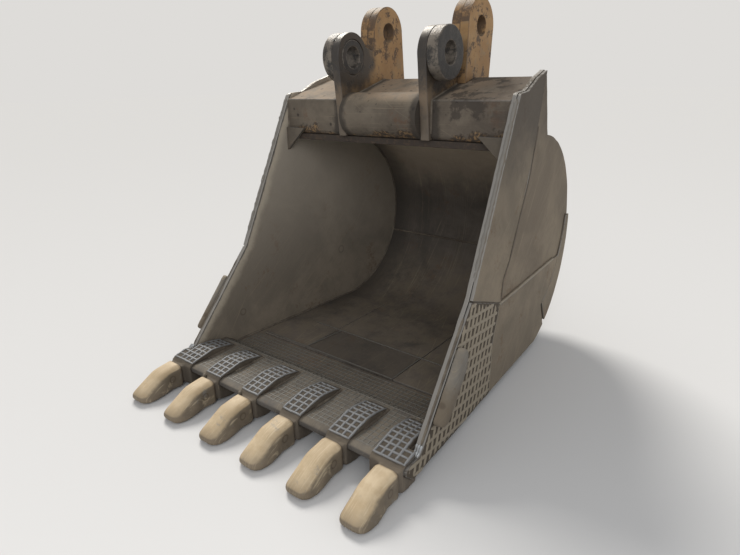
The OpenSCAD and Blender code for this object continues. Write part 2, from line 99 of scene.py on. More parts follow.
class Wire:
    """A node's socket, on which Python's operators add their Math nodes."""

    def __init__(self, finish, socket):
        self.finish = finish
        self.socket = socket

    def math(self, operation, *values):
        return self.finish.node("ShaderNodeMath", {"operation": operation}, dict(enumerate(values)))

    def __add__(self, other):
        return self.math("ADD", self, other)

    def __sub__(self, other):
        return self.math("SUBTRACT", self, other)

    def __rsub__(self, other):
        return self.math("SUBTRACT", other, self)

    def __mul__(self, other):
        return self.math("MULTIPLY", self, other)

    def __abs__(self):
        return self.math("ABSOLUTE", self)

    __radd__ = __add__
    __rmul__ = __mul__

    def high(self, other):
        return self.math("MAXIMUM", self, other)

    def band(self, start, end):
        """0 up to start, 1 from end on, and smooth between them."""
        return self.finish.node("ShaderNodeMapRange", {"interpolation_type": "SMOOTHSTEP"},
                                {0: self, 1: start, 2: end, 3: 0.0, 4: 1.0})


class Finish:
    """A material, built from expressions on its sockets."""

    def __init__(self, name):
        self.material = bpy.data.materials.new(name)
        self.material.use_nodes = True
        self.tree = self.material.node_tree
        self.shader = self.tree.nodes["Principled BSDF"]
        self.spot = self.node("ShaderNodeTexCoord", {}, {}, 3)
        self.x, self.y, self.z = self.parts(self.spot)
        self.back, self.high = self.y + PIN.y, self.z + PIN.z
        self.face_x, self.face_y, self.face_z = self.parts(self.node("ShaderNodeNewGeometry", {}, {}, 1))
        self.edge = self.node("ShaderNodeAttribute", {"attribute_name": "edge"}, {}, 2)

    def node(self, kind, settings, inputs, output=0):
        made = self.tree.nodes.new(kind)
        for key, value in settings.items():
            setattr(made, key, value)
        for key, value in inputs.items():
            if isinstance(value, Wire):
                self.tree.links.new(value.socket, made.inputs[key])
            else:
                made.inputs[key].default_value = value
        return Wire(self, made.outputs[output])

    def parts(self, vector):
        split = self.node("ShaderNodeSeparateXYZ", {}, {0: vector})
        return [Wire(self, socket) for socket in split.socket.node.outputs]

    def placed(self, size=(1, 1, 1), turn=(0, 0, 0), shift=(0, 0, 0)):
        """Coordinates turned by turn, with size as the length of a pattern's unit along each axis."""
        return self.node("ShaderNodeMapping", {"vector_type": "TEXTURE"},
                         {"Vector": self.spot, "Location": shift, "Rotation": turn, "Scale": size})

    def noise(self, scale, detail=5, rough=0.6, vector=None, twist=0.0):
        inputs = {"Vector": vector or self.spot, "Scale": scale, "Detail": detail, "Roughness": rough,
                  "Distortion": twist}
        return self.node("ShaderNodeTexNoise", {}, inputs)

    def cells(self, scale, vector=None):
        return self.node("ShaderNodeTexVoronoi", {}, {"Vector": vector or self.spot, "Scale": scale})

    def blend(self, share, first, second):
        return self.node("ShaderNodeMix", {"data_type": "RGBA"}, {0: share, 6: first, 7: second}, 2)

    def painted_crevice_shade(self, reach):
        """Painted shade: 1 in corners and under ledges, 0 in the open."""
        shade = self.node("ShaderNodeAmbientOcclusion", {"samples": 4}, {"Distance": reach}, 1)
        return 1 - shade.band(0.25, 0.85)

    def span(self, value, start, end, soft=0.004):
        """1 between two values of a coordinate, with soft ends."""
        return value.band(start - soft, start + soft) * (1 - value.band(end - soft, end + soft))

    def ring(self, y, z, radius, width):
        """1 on a ring about the parked point (y, z), as seen from the side."""
        dy, dz = self.back - y, self.high - z
        off = abs(dy.math("SQRT", dy * dy + dz * dz) - radius)
        return 1 - off.band(width * 0.3, width)

    def from_mouth(self):
        """Distance behind the mouth edge of the side plates, in metres."""
        found = None
        for (y0, z0), (y1, z1) in ((MOUTH_FOOT, MOUTH_BEND), (MOUTH_BEND, MOUTH_TOP)):
            run, rise = y1 - y0, z1 - z0
            length = math.hypot(run, rise)
            line = (self.back - y0) * (rise / length) - (self.high - z0) * (run / length)
            found = line if found is None else found.high(line)
        return found

    def finished(self, colour, rough, metal=0.0, height=None):
        for key, value in (("Base Color", colour), ("Roughness", rough), ("Metallic", metal)):
            if isinstance(value, Wire):
                self.tree.links.new(value.socket, self.shader.inputs[key])
            else:
                self.shader.inputs[key].default_value = value
        if height is not None:
            bump = self.node("ShaderNodeBump", {}, {"Strength": 1.0, "Distance": 1.0, "Height": height})
            self.tree.links.new(bump.socket, self.shader.inputs["Normal"])
        return self.material


# Materials

BARE = tone(136, 134, 131)
DUST = tone(172, 156, 130)
# Tone of the painted shade in corners and under ledges
PAINTED_SHADE_TONE = tone(58, 48, 40)


def plate(name, light, dark, rust, streak_turn=(0.6, 0, 0), streak_size=(1, 0.42, 0.0035), streaks=0.5,
          dust=0.5, inner=None, band=0.0, edge_wear=0.9, dents=1.0, zones=None):
    """Worn steel under dust: two tones, stains, long scratches, rubbed edges and painted shade in corners."""
    f = Finish(name)
    big, mid = f.noise(2.1, 6, 0.62, twist=0.4), f.noise(9.5, 8, 0.66)
    fine, grit = f.noise(68, 8, 0.7), f.noise(540, 3)
    # Tones for the inner faces; the side plates' lighter inner tones are painted light
    if inner:
        inside = (f.face_x * f.x.math("SIGN", f.x)).band(-0.2, 0.2)
        light = f.blend(inside, inner[0], light)
        dark = f.blend(inside, inner[1], dark)
    colour = f.blend(big.band(0.36, 0.64), dark, light)
    colour = f.blend(mid.band(0.42, 0.68) * 0.5, colour, dark)
    stain = (f.noise(4.2, 9, 0.72, f.placed(shift=(3, 1, 2))) + (fine - 0.5) * 0.35).band(0.56, 0.68)
    colour = f.blend(stain * 0.6, colour, rust)
    scratch = f.noise(1.0, 4, 0.6, f.placed(streak_size, streak_turn)).band(0.57, 0.70)
    broad = f.placed([s * 2.3 for s in streak_size], [t + 0.35 for t in streak_turn], (0.5, 0, 0))
    scratch = scratch.high(f.noise(1.0, 3, 0.6, broad).band(0.62, 0.74))
    scratch = scratch * mid.band(0.30, 0.60) * streaks
    colour = f.blend(scratch * 0.55, colour, DUST)
    colour = f.blend(fine.band(0.58, 0.78) * 0.38, colour, dark)
    colour = f.blend(grit.band(0.60, 0.85) * 0.20, colour, DUST)
    settled = f.face_z.band(0.35, 0.85) * (mid + fine * 0.4).band(0.45, 0.85) * dust
    colour = f.blend(settled, colour, DUST)
    if zones:
        colour = zones(f, colour, mid, fine)
    # Painted shade in corners and under ledges
    darkening = f.painted_crevice_shade(0.04) * (0.25 + fine * 0.5)
    colour = f.blend(darkening * 0.7, colour, PAINTED_SHADE_TONE)
    rub = f.edge.band(0.2, 0.8) * (mid * 0.6 + fine * 0.6).band(0.48, 0.66) * edge_wear
    if band:
        near = 1 - (f.from_mouth() + (mid - 0.5) * 0.020 + (fine - 0.5) * 0.010).band(band * 0.35, band)
        rub = rub.high(near * 0.9 * f.high.band(0.105, 0.135))
    colour = f.blend(rub, colour, BARE)
    rough = 0.86 - rub * 0.42 - scratch * 0.15 + (fine - 0.5) * 0.18
    height = (big * 0.0050 + mid * 0.0018) * dents + fine * 0.00045 + grit * 0.00010 - scratch * 0.00025
    return f.finished(colour, rough, rub * 0.75, height)


def side_zones(f, colour, mid, fine):
    """Round marks and painted light on the left plate, higher up and on its mouth edge; dark steel high on
    the right.
    """
    left = 1 - f.x.band(-0.1, 0.1)
    marks = f.ring(0.687, 0.228, 0.017, 0.006).high(f.ring(1.484, 0.401, 0.022, 0.007))
    colour = f.blend(marks * left * 0.45, colour, tone(78, 70, 62))
    top = (f.high + (mid - 0.5) * 0.3).band(0.95, 1.36)
    colour = f.blend(top * (0.6 - left * 0.6), colour, tone(80, 73, 65))
    # Painted light: the left plate lighter towards the top
    colour = f.blend(f.high.band(0.15, 1.1) * left * 0.6, colour, tone(176, 168, 156))
    # Painted highlight along the left plate's mouth edge
    near = 1 - (f.from_mouth() + (mid - 0.5) * 0.06).band(0.015, 0.065)
    return f.blend(near * left * (0.6 + fine * 0.4), colour, tone(190, 180, 163))


def bar_zones(f, colour, mid, fine):
    """Darker steel high up."""
    return f.blend((f.high + (mid - 0.5) * 0.3).band(0.85, 1.30) * 0.85, colour, tone(72, 66, 60))


def inside_zones(f, colour, mid, fine):
    """Painted shade with dirt in the heel's corners, darker on the middle liner, painted light high up, rusty
    under the beam.
    """
    inner = 1 - (f.face_y * (f.back - HEEL_Y) + f.face_z * (f.high - HEEL_Z)).band(-0.1, 0.1)
    clear = inner_half(0) - f.back * math.tan(TAPER) - abs(f.x)
    corner = (1 - (clear + (mid - 0.5) * 0.06).band(0.0, 0.24)) * f.back.band(1.00, 1.35) * inner
    # Painted light on the wrapper's upper part
    colour = f.blend((f.high + (mid - 0.5) * 0.2).band(0.65, 1.10) * inner * 0.9, colour, tone(178, 164, 146))
    # Painted shade, with some dirt, in the heel's corners by the side plates
    colour = f.blend(corner * 0.72, colour, tone(46, 42, 38))
    liner = f.span(f.x, -LINER_X, LINER_X) * f.span(f.back, 0.782, 1.047) * (1 - f.high.band(0.10, 0.12))
    colour = f.blend(liner * 0.45, colour, tone(54, 50, 48))
    front = (1 - f.back.band(1.122, 1.134)) * f.high.band(1.05, 1.10)
    return f.blend(front * 0.95, colour, f.blend(fine.band(0.5, 0.65), tone(50, 42, 36), tone(74, 60, 48)))


def beam_zones(f, colour, mid, fine):
    """Dust on the sloping top, grease by the ears, painted shade and dark patches at the right, and a chipped
    lower edge.
    """
    top = f.face_z.band(0.55, 0.85) * (mid * 0.7 + fine * 0.3).band(0.32, 0.52)
    dust = f.blend(mid.band(0.4, 0.6), tone(134, 121, 106), tone(148, 129, 108))
    colour = f.blend(top * 0.85, colour, dust)
    # Painted shade over the beam's right part
    colour = f.blend(f.x.band(0.2, 0.6) * mid.band(0.30, 0.55) * 0.7, colour, tone(72, 64, 57))
    patches = (f.noise(8, 8, 0.7, f.placed(shift=(0.4, 0.2, 0))) + (fine - 0.5) * 0.2).band(0.49, 0.55)
    patches = patches * f.x.band(0.20, 0.32) * (1 - f.x.band(0.50, 0.62))
    colour = f.blend(patches * 0.75, colour, tone(52, 46, 41))
    ragged = f.high + (mid - 0.5) * 0.22 + (fine - 0.5) * 0.10
    low = 1 - ragged.band(CROWN + 0.018, CROWN + 0.042)
    chips = f.blend(fine.band(0.49, 0.56), tone(52, 42, 35), tone(134, 106, 70))
    colour = f.blend(low * 0.85, colour, chips)
    ears = 1 - abs(abs(f.x) - 0.248).band(0.010, 0.115)
    middle = (1 - abs(f.x).band(0.16, 0.24)) * 0.32
    grease = (ears.high(middle) + (mid - 0.5) * 1.1 + (fine - 0.5) * 0.4).band(0.36, 0.76)
    colour = f.blend(grease * 0.85, colour, tone(50, 45, 40))
    spots = 1 - (f.cells(20, f.placed(shift=(0.3, 0, 0.1))) + (fine - 0.5) * 0.25).band(0.12, 0.20)
    return f.blend(spots * mid.band(0.44, 0.54) * 0.85, colour, tone(44, 39, 35))


def pad_zones(f, colour, mid, fine):
    """Dirt between the beads on the pads' tops."""
    top = f.face_z.band(0.55, 0.85) * f.back.band(0.252, 0.262)
    return f.blend(top * 0.85, colour, f.blend(fine.band(0.45, 0.65), tone(62, 56, 49), tone(86, 78, 67)))


def guard_zones(f, colour, mid, fine):
    """Rubbed grey above, brown below, with a faint ring."""
    low = 1 - (f.high + (mid - 0.5) * 0.12).band(0.27, 0.36)
    colour = f.blend(low * 0.8, colour, tone(102, 91, 76))
    return f.blend(f.ring(0.464, 0.284, 0.021, 0.007) * 0.6, colour, tone(76, 65, 54))


def hardfacing(name, crest, foot, shine):
    """Hard weld beads: rubbed on their crests, dirty at their feet, rippled along their length."""
    f = Finish(name)
    mid, fine, grit = f.noise(16, 6), f.noise(160, 6, 0.7), f.noise(600, 3)
    rub = (f.edge + (mid - 0.5) * 0.8 + (fine - 0.5) * 0.5).band(0.30, 0.80)
    colour = f.blend(rub, foot, crest)
    colour = f.blend(fine.band(0.56, 0.72) * 0.35, colour, tone(120, 104, 84))
    return f.finished(colour, 0.76 - rub * 0.2, rub * shine, fine * 0.0008 + grit * 0.0002 + mid * 0.002)


def weld(name):
    """Old weld seams in the colour of the dusty plates."""
    f = Finish(name)
    mid, fine = f.noise(14, 6), f.noise(140, 6, 0.7)
    colour = f.blend(mid.band(0.4, 0.65), tone(90, 82, 73), tone(116, 108, 96))
    colour = f.blend(fine.band(0.52, 0.7) * 0.5, colour, tone(74, 58, 46))
    return f.finished(colour, 0.8, 0.15, fine * 0.0009 + mid * 0.002)


def tip_paint(name):
    """Sand-coloured tips: painted shade on the flanks, rubbed patches, scuffs, small pits and a faint ring at
    the lock.
    """
    f = Finish(name)
    big, mid, fine = f.noise(7, 5), f.noise(24, 7, 0.65), f.noise(120, 7, 0.7)
    colour = f.blend(big.band(0.35, 0.65), tone(180, 160, 129), tone(200, 181, 151))
    colour = f.blend(mid.band(0.48, 0.66) * 0.5, colour, tone(178, 156, 124))
    # Painted shade: faces that turn away from up take a darker tone
    painted_flank_shade = (f.face_z + (mid - 0.5) * 0.22).band(0.38, 0.64)
    colour = f.blend(painted_flank_shade, f.blend(big.band(0.4, 0.6), tone(104, 94, 80), tone(122, 110, 93)), colour)
    streak = f.noise(1.0, 4, 0.6, f.placed((0.0045, 0.12, 0.06))).band(0.54, 0.68)
    colour = f.blend(streak * 0.35, colour, tone(222, 206, 176))
    grey = (f.noise(10, 7, 0.7, f.placed(shift=(1, 2, 5))) + (fine - 0.5) * 0.3).band(0.57, 0.70)
    colour = f.blend(grey * 0.6, colour, tone(132, 132, 132))
    tip = 1 - (f.back + (mid - 0.5) * 0.06).band(0.004, 0.060)
    colour = f.blend(tip * 0.5, colour, tone(128, 114, 94))
    pits = (1 - f.cells(34).band(0.05, 0.11)) * mid.band(0.55, 0.62)
    colour = f.blend(pits * 0.85, colour, tone(74, 58, 42))
    colour = f.blend(fine.band(0.60, 0.78) * 0.35, colour, tone(120, 102, 80))
    collar = (f.back + (fine - 0.5) * 0.01).band(0.214, 0.230)
    colour = f.blend(collar * 0.7, colour, tone(84, 70, 55))
    lock = f.ring(LOCK_Y, LOCK_Z, 0.0150, 0.0045) * abs(f.face_x).band(0.5, 0.8)
    colour = f.blend(lock * 0.55, colour, tone(74, 62, 49))
    height = big * 0.0006 + mid * 0.0004 + fine * 0.0002 - pits * 0.0008 - streak * 0.0002 - lock * 0.0008
    return f.finished(colour, 0.66 + (fine - 0.5) * 0.25 - streak * 0.08, grey * 0.12, height)


def plug_paint(name):
    """Flush lock plugs in the colour of the tips, with a dirty rim."""
    f = Finish(name)
    mid, fine = f.noise(40, 6), f.noise(160, 6, 0.7)
    colour = f.blend(mid.band(0.4, 0.65), tone(112, 101, 86), tone(132, 119, 100))
    colour = f.blend(f.edge.band(0.1, 0.7) * 0.4, colour, tone(92, 80, 66))
    return f.finished(colour, 0.75, 0.0, mid * 0.0015 + fine * 0.0004)


def chipped_paint(name):
    """Faded orange-yellow paint, chipped through to brown steel, old grease near the boss, painted shade in
    corners.
    """
    f = Finish(name)
    big, mid, fine = f.noise(4, 6), f.noise(17, 8, 0.68), f.noise(95, 8, 0.7)
    colour = f.blend(big.band(0.35, 0.65), tone(146, 112, 72), tone(170, 136, 92))
    colour = f.blend(mid.band(0.5, 0.64) * 0.55, colour, tone(134, 116, 90))
    chips = (f.noise(13, 9, 0.75, f.placed(shift=(2, 0, 1))) + (fine - 0.5) * 0.25).band(0.53, 0.58)
    chips = chips.high(f.edge.band(0.2, 0.8) * (mid + fine * 0.5).band(0.55, 0.78))
    colour = f.blend(chips * 0.85, colour, tone(70, 54, 43))
    reach = (f.y * f.y + f.z * f.z).math("SQRT", f.y * f.y + f.z * f.z)
    grease = 1 - (reach + (mid - 0.5) * 0.14 + (fine - 0.5) * 0.03).band(0.125, 0.215)
    low = 1 - (f.z + (PIN.z - CROWN) + (mid - 0.5) * 0.20).band(0.06, 0.30)
    colour = f.blend(low * 0.8, colour, tone(94, 86, 77))
    front = 1 - (f.y + f.z * 0.35 + (mid - 0.5) * 0.12).band(-0.13, -0.03)
    colour = f.blend(front * 0.65, colour, tone(90, 83, 74))
    colour = f.blend(grease * 0.92, colour, tone(36, 33, 31))
    # Painted shade in corners and under ledges
    colour = f.blend(f.painted_crevice_shade(0.05) * 0.7, colour, PAINTED_SHADE_TONE)
    colour = f.blend(f.face_z.band(0.5, 0.9) * fine.band(0.4, 0.6) * 0.5, colour, DUST)
    return f.finished(colour, 0.62 + (fine - 0.5) * 0.3 - grease * 0.18, 0.0,
                      mid * 0.0014 + fine * 0.0004 - chips * 0.0005)


def greased(name):
    """Black, greasy cast steel with grit stuck to it and lighter arcs where the rim has rubbed."""
    f = Finish(name)
    mid, fine = f.noise(22, 7, 0.65), f.noise(170, 7, 0.7)
    colour = f.blend(mid.band(0.42, 0.62), tone(30, 28, 27), tone(52, 47, 43))
    rub = f.edge.band(0.3, 0.9) * (mid * 0.7 + fine * 0.5).band(0.5, 0.7)
    colour = f.blend(rub * 0.8, colour, tone(128, 120, 110))
    colour = f.blend(fine.band(0.56, 0.7) * 0.55, colour, tone(92, 78, 62))
    return f.finished(colour, 0.5 + (fine - 0.5) * 0.45, rub * 0.4, mid * 0.004 + fine * 0.0010)


def dull_steel(name):
    """Dull steel of pins and collars."""
    f = Finish(name)
    mid, fine = f.noise(30, 7), f.noise(210, 6)
    colour = f.blend(mid.band(0.4, 0.65), tone(92, 84, 74), tone(140, 134, 126))
    colour = f.blend(fine.band(0.55, 0.7) * 0.6, colour, tone(84, 60, 42))
    return f.finished(colour, 0.6 - mid * 0.1, 0.45, mid * 0.001 + fine * 0.0004)


ALONG_SIDE = (math.radians(38), 0, 0)
LEVEL = (0, 0, 0)
FINISHES = {
    # The side plates' inner tones are lighter than their outer ones: painted light on the inner faces
    "side": plate("side_steel", tone(128, 117, 101), tone(107, 97, 84), tone(102, 78, 58), ALONG_SIDE,
                  dust=0.3, inner=(tone(138, 128, 114), tone(114, 106, 95)), band=0.013, streaks=0.6,
                  zones=side_zones),
    "inside": plate("inside_steel", tone(98, 91, 84), tone(74, 69, 64), tone(88, 66, 52), LEVEL,
                    (0.0045, 0.5, 0.5), streaks=0.5, dust=0.2, edge_wear=0.35, zones=inside_zones),
    "lip": plate("lip_steel", tone(102, 98, 93), tone(76, 72, 68), tone(84, 66, 52), LEVEL,
                 (0.004, 0.2, 0.2), streaks=0.4, dust=0.2, edge_wear=0.5),
    "adapter": plate("adapter_steel", tone(106, 97, 86), tone(82, 75, 66), tone(88, 70, 54), LEVEL,
                     (0.2, 0.004, 0.1), streaks=0.4, dust=0.1, edge_wear=0.5, dents=1.4, zones=pad_zones),
    "armour": plate("armour_steel", tone(130, 119, 103), tone(108, 99, 86), tone(98, 76, 56), ALONG_SIDE,
                    dust=0.4, band=0.014, zones=bar_zones),
    "cheek": plate("cheek_steel", tone(76, 67, 56), tone(58, 51, 43), tone(70, 54, 41), ALONG_SIDE,
                   dust=0.1, band=0.012),
    "guard": plate("guard_steel", tone(122, 119, 114), tone(104, 100, 94), tone(104, 84, 64), ALONG_SIDE,
                   dust=0.3, streaks=0.8, zones=guard_zones),
    "beam": plate("beam_steel", tone(108, 99, 87), tone(80, 72, 63), tone(92, 66, 48), LEVEL,
                  (0.4, 0.4, 0.004), streaks=0.35, dust=0.3, edge_wear=0.35, zones=beam_zones),
    "strap": plate("strap_steel", tone(110, 101, 88), tone(84, 77, 68), tone(86, 66, 50), LEVEL,
                   (0.004, 0.4, 0.4), streaks=0.8, dust=0.3),
    "pad_bead": hardfacing("pad_beads", tone(118, 120, 123), tone(80, 73, 64), 0.25),
    "lip_bead": hardfacing("lip_beads", tone(105, 103, 98), tone(74, 67, 60), 0.2),
    "cheek_bead": hardfacing("cheek_beads", tone(138, 129, 114), tone(104, 94, 79), 0.1),
    "edge_bead": hardfacing("edge_beads", tone(118, 115, 110), tone(108, 100, 89), 0.25),
    "dark_bar_line": hardfacing("dark_bar_line", tone(84, 75, 64), tone(58, 51, 44), 0.0),
    "corner_bead": hardfacing("corner_beads", tone(164, 168, 172), tone(112, 108, 102), 0.4),
    "weld": weld("weld_seams"),
    "tip": tip_paint("tip_paint"),
    "plug": plug_paint("plug_paint"),
    "ear": chipped_paint("ear_paint"),
    "boss": greased("greased_boss"),
    "pin": dull_steel("pin_steel"),
}


# Mesh helpers

SAME_SPOT = 0.00003
# Angles between faces: still flat, an edge to round, and one to keep sharp in the shading
FLAT, SHARP, CREASE = math.radians(0.6), math.radians(28), math.radians(50)
# Turn at a corner, and largest face beside it, that mark a point as lying on a rounded edge
ROUNDED_TURN, ROUNDED_FACE = math.radians(12), 0.0009
# Length of edge between two nicks
NICK_STEP = 0.035


def piece(name, mesh, finish, slot, *nodes):
    """A finished piece that rides with the bucket, and stands for CAD nodes where it's given any."""
    made = bpy.data.objects.new(name, mesh)
    bpy.context.scene.collection.objects.link(made)
    mesh.materials.clear()
    mesh.materials.append(FINISHES[finish])
    mesh.shade_smooth()
    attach(made, "root")
    if nodes:
        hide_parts(*nodes)
    return made


def merged_copy(node):
    """A CAD node's mesh with its loose triangles joined and its flat faces whole."""
    bm = bmesh.new()
    bm.from_mesh(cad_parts[node].data)
    bmesh.ops.remove_doubles(bm, verts=bm.verts, dist=SAME_SPOT)
    bmesh.ops.dissolve_limit(bm, angle_limit=FLAT, verts=bm.verts, edges=bm.edges)
    return bm


def sharp_edges(bm):
    return [e for e in bm.edges if e.is_manifold and e.calc_face_angle() > SHARP]


def as_mesh(bm, name):
    mesh = bpy.data.meshes.new(name)
    bm.to_mesh(mesh)
    bm.free()
    return mesh


def evaluated(holder):
    """The mesh that a scratch object comes to with its modifiers or its bevel. The object is removed."""
    bpy.context.scene.collection.objects.link(holder)
    bpy.context.view_layer.update()
    mesh = bpy.data.meshes.new_from_object(holder.evaluated_get(bpy.context.evaluated_depsgraph_get()))
    bpy.data.objects.remove(holder)
    return mesh


def soften(node, finish, slot, width=0.004, nicks=0.0):
    """Replaces a CAD node by a copy with rounded, slightly uneven edges."""
    bm = merged_copy(node)
    if nicks:
        runs = {}
        for e in sharp_edges(bm):
            runs.setdefault(round(e.calc_length() / NICK_STEP) - 1, []).append(e)
        for cuts, run in runs.items():
            if cuts > 0:
                bmesh.ops.subdivide_edges(bm, edges=run, cuts=cuts)
        for v in {v for e in sharp_edges(bm) for v in e.verts}:
            dip = abs(noise.noise(v.co * 9.0)) + 0.5 * abs(noise.noise(v.co * 31.0))
            v.co -= v.normal * nicks * dip
    bmesh.ops.bevel(bm, geom=sharp_edges(bm), offset=width, offset_type="OFFSET", affect="EDGES", segments=3,
                    profile=0.5, material=-1, clamp_overlap=True)
    rounded = bm.verts.layers.float.new("edge")
    for v in bm.verts:
        turn = max((e.calc_face_angle(0.0) for e in v.link_edges), default=0.0)
        sizes = [f.calc_area() for f in v.link_faces]
        small = bool(sizes) and max(sizes) < ROUNDED_FACE
        v[rounded] = 1.0 if turn > ROUNDED_TURN and small else 0.0
    made = piece(node + "_worn", as_mesh(bm, node + "_worn"), finish, slot, node)
    made.data.set_sharp_from_angle(angle=CREASE)
    made.modifiers.new("Flat faces", "WEIGHTED_NORMAL").keep_sharp = True
    return made


def beads(name, lines, radius, finish, slot, up=None, swell=0.18, sides=1):
    """Weld beads: one uneven tube along each line of points, with crests marked on the axis given by up."""
    curve = bpy.data.curves.new(name + "_lines", "CURVE")
    curve.dimensions = "3D"
    curve.bevel_depth = radius
    curve.bevel_resolution = sides
    curve.use_fill_caps = True
    for line in lines:
        run = curve.splines.new("POLY")
        run.points.add(len(line) - 1)
        for i, spot in enumerate(line):
            run.points[i].co = (*spot, 1)
            ends = 0.55 if i in (0, len(line) - 1) else 1.0
            jitter = random.uniform(-swell, swell) * 0.5
            run.points[i].radius = ends * (1 + swell * noise.noise(spot * 55) + jitter)
    mesh = evaluated(bpy.data.objects.new(name + "_lines", curve))
    bpy.data.curves.remove(curve)
    crest = mesh.attributes.new("edge", "FLOAT", "POINT")
    if up:
        for v in mesh.vertices:
            crest.data[v.index].value = sum(a * abs(n) for a, n in zip(up, v.normal))
    return piece(name, mesh, finish, slot)


def stepped(start, end, step):
    """Points from start to end, about a step apart."""
    count = max(1, round((end - start).length / step))
    return [start.lerp(end, i / count) for i in range(count + 1)]


def along(corners, step):
    """Points about a step apart along a line through corners."""
    spots = [corners[0]]
    for a, b in zip(corners, corners[1:]):
        spots += stepped(a, b, step)[1:]
    return spots


def hatch(outline, angle, spacing, start=0.0):
    """Straight lines at an angle across a flat outline, as pairs of end points."""
    way = Vector((math.cos(angle), math.sin(angle)))
    aside = Vector((-way.y, way.x))
    reach = [aside.dot(Vector(p)) for p in outline]
    found = []
    offset = math.floor(min(reach) / spacing) * spacing + start
    while offset < max(reach):
        hits = []
        for a, b in zip(outline, outline[1:] + outline[:1]):
            da, db = aside.dot(Vector(a)) - offset, aside.dot(Vector(b)) - offset
            if (da < 0) != (db < 0):
                hits.append(way.dot(Vector(a).lerp(Vector(b), da / (da - db))))
        hits.sort()
        for p, q in zip(hits[::2], hits[1::2]):
            if q - p > spacing * 0.4:
                found.append((way * p + aside * offset, way * q + aside * offset))
        offset += spacing
    return found


# Plates with rounded, uneven edges

for side in ("left", "right"):
    soften("side_plate_" + side, "side", "shell", 0.0035, 0.0035)
    soften("side_bar_" + side, "armour", "armour", 0.003, 0.002)
    soften("cheek_plate_" + side, "cheek", "armour", 0.003, 0.003)
    soften("wear_plate_" + side, "armour", "armour", 0.0025, 0.0015)
    soften("heel_strip_" + side, "armour", "armour", 0.0025, 0.0015)
    soften("beam_" + side, "beam", "shell", 0.004, 0.002)
    soften("gusset_" + side, "armour", "shell", 0.003, 0.001)
    soften("ear_" + side, "ear", "ear_paint", 0.005, 0.001)
    soften("link_doubler_" + side, "ear", "ear_paint", 0.005)
    soften("stick_boss_" + side, "boss", "boss", 0.006, 0.0)
soften("beam_center", "beam", "shell", 0.004, 0.001)
soften("wrapper_upper", "inside", "inside", 0.003, 0.0)
soften("wrapper_lower", "inside", "inside", 0.003, 0.0)
soften("lip", "lip", "lip_steel", 0.006)
soften("floor_straps", "strap", "armour", 0.005, 0.002)
soften("floor_liners", "inside", "inside", 0.003, 0.001)
soften("tip_pins", "plug", "pin_steel", 0.004)


# Tooth tips, adapters and side protectors, rubbed round

WORN_GRID = 0.0040
# The tips' fronts are rubbed in rounds that start here and end a step further ahead each time
FRONT_FROM, FRONT_STEP = 0.205, 0.0015
PLUG_R, PLUG_LEN, PLUG_IN = 0.0170, 0.0120, 0.0055


def rubbed(node, finish, slot, rounds, swell, wave=0.0008, front_rounds=0, plugs=()):
    """A node with a slightly wavy surface and edges that wear has rounded. Plugs close the bores of a tip."""
    bm = merged_copy(node)
    for spot in plugs:
        bmesh.ops.create_cone(bm, cap_ends=True, segments=32, radius1=PLUG_R, radius2=PLUG_R, depth=PLUG_LEN,
                              matrix=Matrix.Translation(spot) @ Matrix.Rotation(math.radians(90), 4, "Y"))
    holder = bpy.data.objects.new(node + "_holder", as_mesh(bm, node + "_holder"))
    grid = holder.modifiers.new("Even grid", "REMESH")
    grid.mode = "VOXEL"
    grid.voxel_size = WORN_GRID
    mesh = evaluated(holder)
    bm = bmesh.new()
    bm.from_mesh(mesh)
    for k in range(rounds + front_rounds):
        limit = FRONT_FROM - FRONT_STEP * (k - rounds) - PIN.y
        chosen = bm.verts if k < rounds else [v for v in bm.verts if v.co.y < limit]
        bmesh.ops.smooth_vert(bm, verts=chosen, factor=0.5, use_axis_x=True, use_axis_y=True, use_axis_z=True)
    bm.normal_update()
    moves = [v.normal * (swell + wave * (noise.noise(v.co * 16) + 0.5 * noise.noise(v.co * 60)))
             for v in bm.verts]
    for v, move in zip(bm.verts, moves):
        v.co += move
        v.co.z = max(v.co.z, -PIN.z)
    bm.to_mesh(mesh)
    bm.free()
    return piece(node + "_worn", mesh, finish, slot, node)


def lock_plugs(i):
    """Middles of the two plugs that close the lock's bore in tip i, just inside the ends of its pin."""
    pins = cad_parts["tip_pins"].data.vertices
    ends = [v.co.x for v in pins if abs(v.co.x - tooth_x(i)) < TOOTH_PITCH / 2]
    return [parked(x, LOCK_Y, LOCK_Z) for x in (min(ends) + PLUG_IN, max(ends) - PLUG_IN)]


for i in range(TEETH):
    rubbed("tooth_tip_%d" % (i + 1), "tip", "tip", 10, 0.0012, 0.0004, 36, lock_plugs(i))
    rubbed("adapter_%d" % (i + 1), "adapter", "lip_steel", 5, 0.0003, 0.0012)
for side in ("left", "right"):
    rubbed("side_protector_" + side, "guard", "tip", 40, 0.0014)


# Each knob's tooth, how far aside of its middle the knob stands, and the knob's radius
KNOBS = ((1, -0.036, 0.0105), (2, -0.040, 0.0095))


def knobs():
    """Lumps of weld between the second and third tips and their pads."""
    bm = bmesh.new()
    for tooth, aside, radius in KNOBS:
        middle = parked(tooth_x(tooth) + aside, 0.240, 0.116)
        ball = bmesh.ops.create_icosphere(bm, subdivisions=3, radius=radius,
                                          matrix=Matrix.Translation(middle))
        for v in ball["verts"]:
            way = v.co - middle
            v.co = middle + way * (1 + 0.25 * noise.noise(v.co * 90))
    return as_mesh(bm, "tip_knobs")


piece("tip_knobs", knobs(), "edge_bead", "tip")


# Hardfacing nets

# The top of an adapter's pad, back and up
PAD_TOP = [(0.2605, 0.1234), (0.332, 0.1381), (0.387, 0.149), (0.4365, 0.1458), (0.4915, 0.1349),
           (0.530, 0.1234)]
PAD_REAR = PAD_TOP[-1][0]
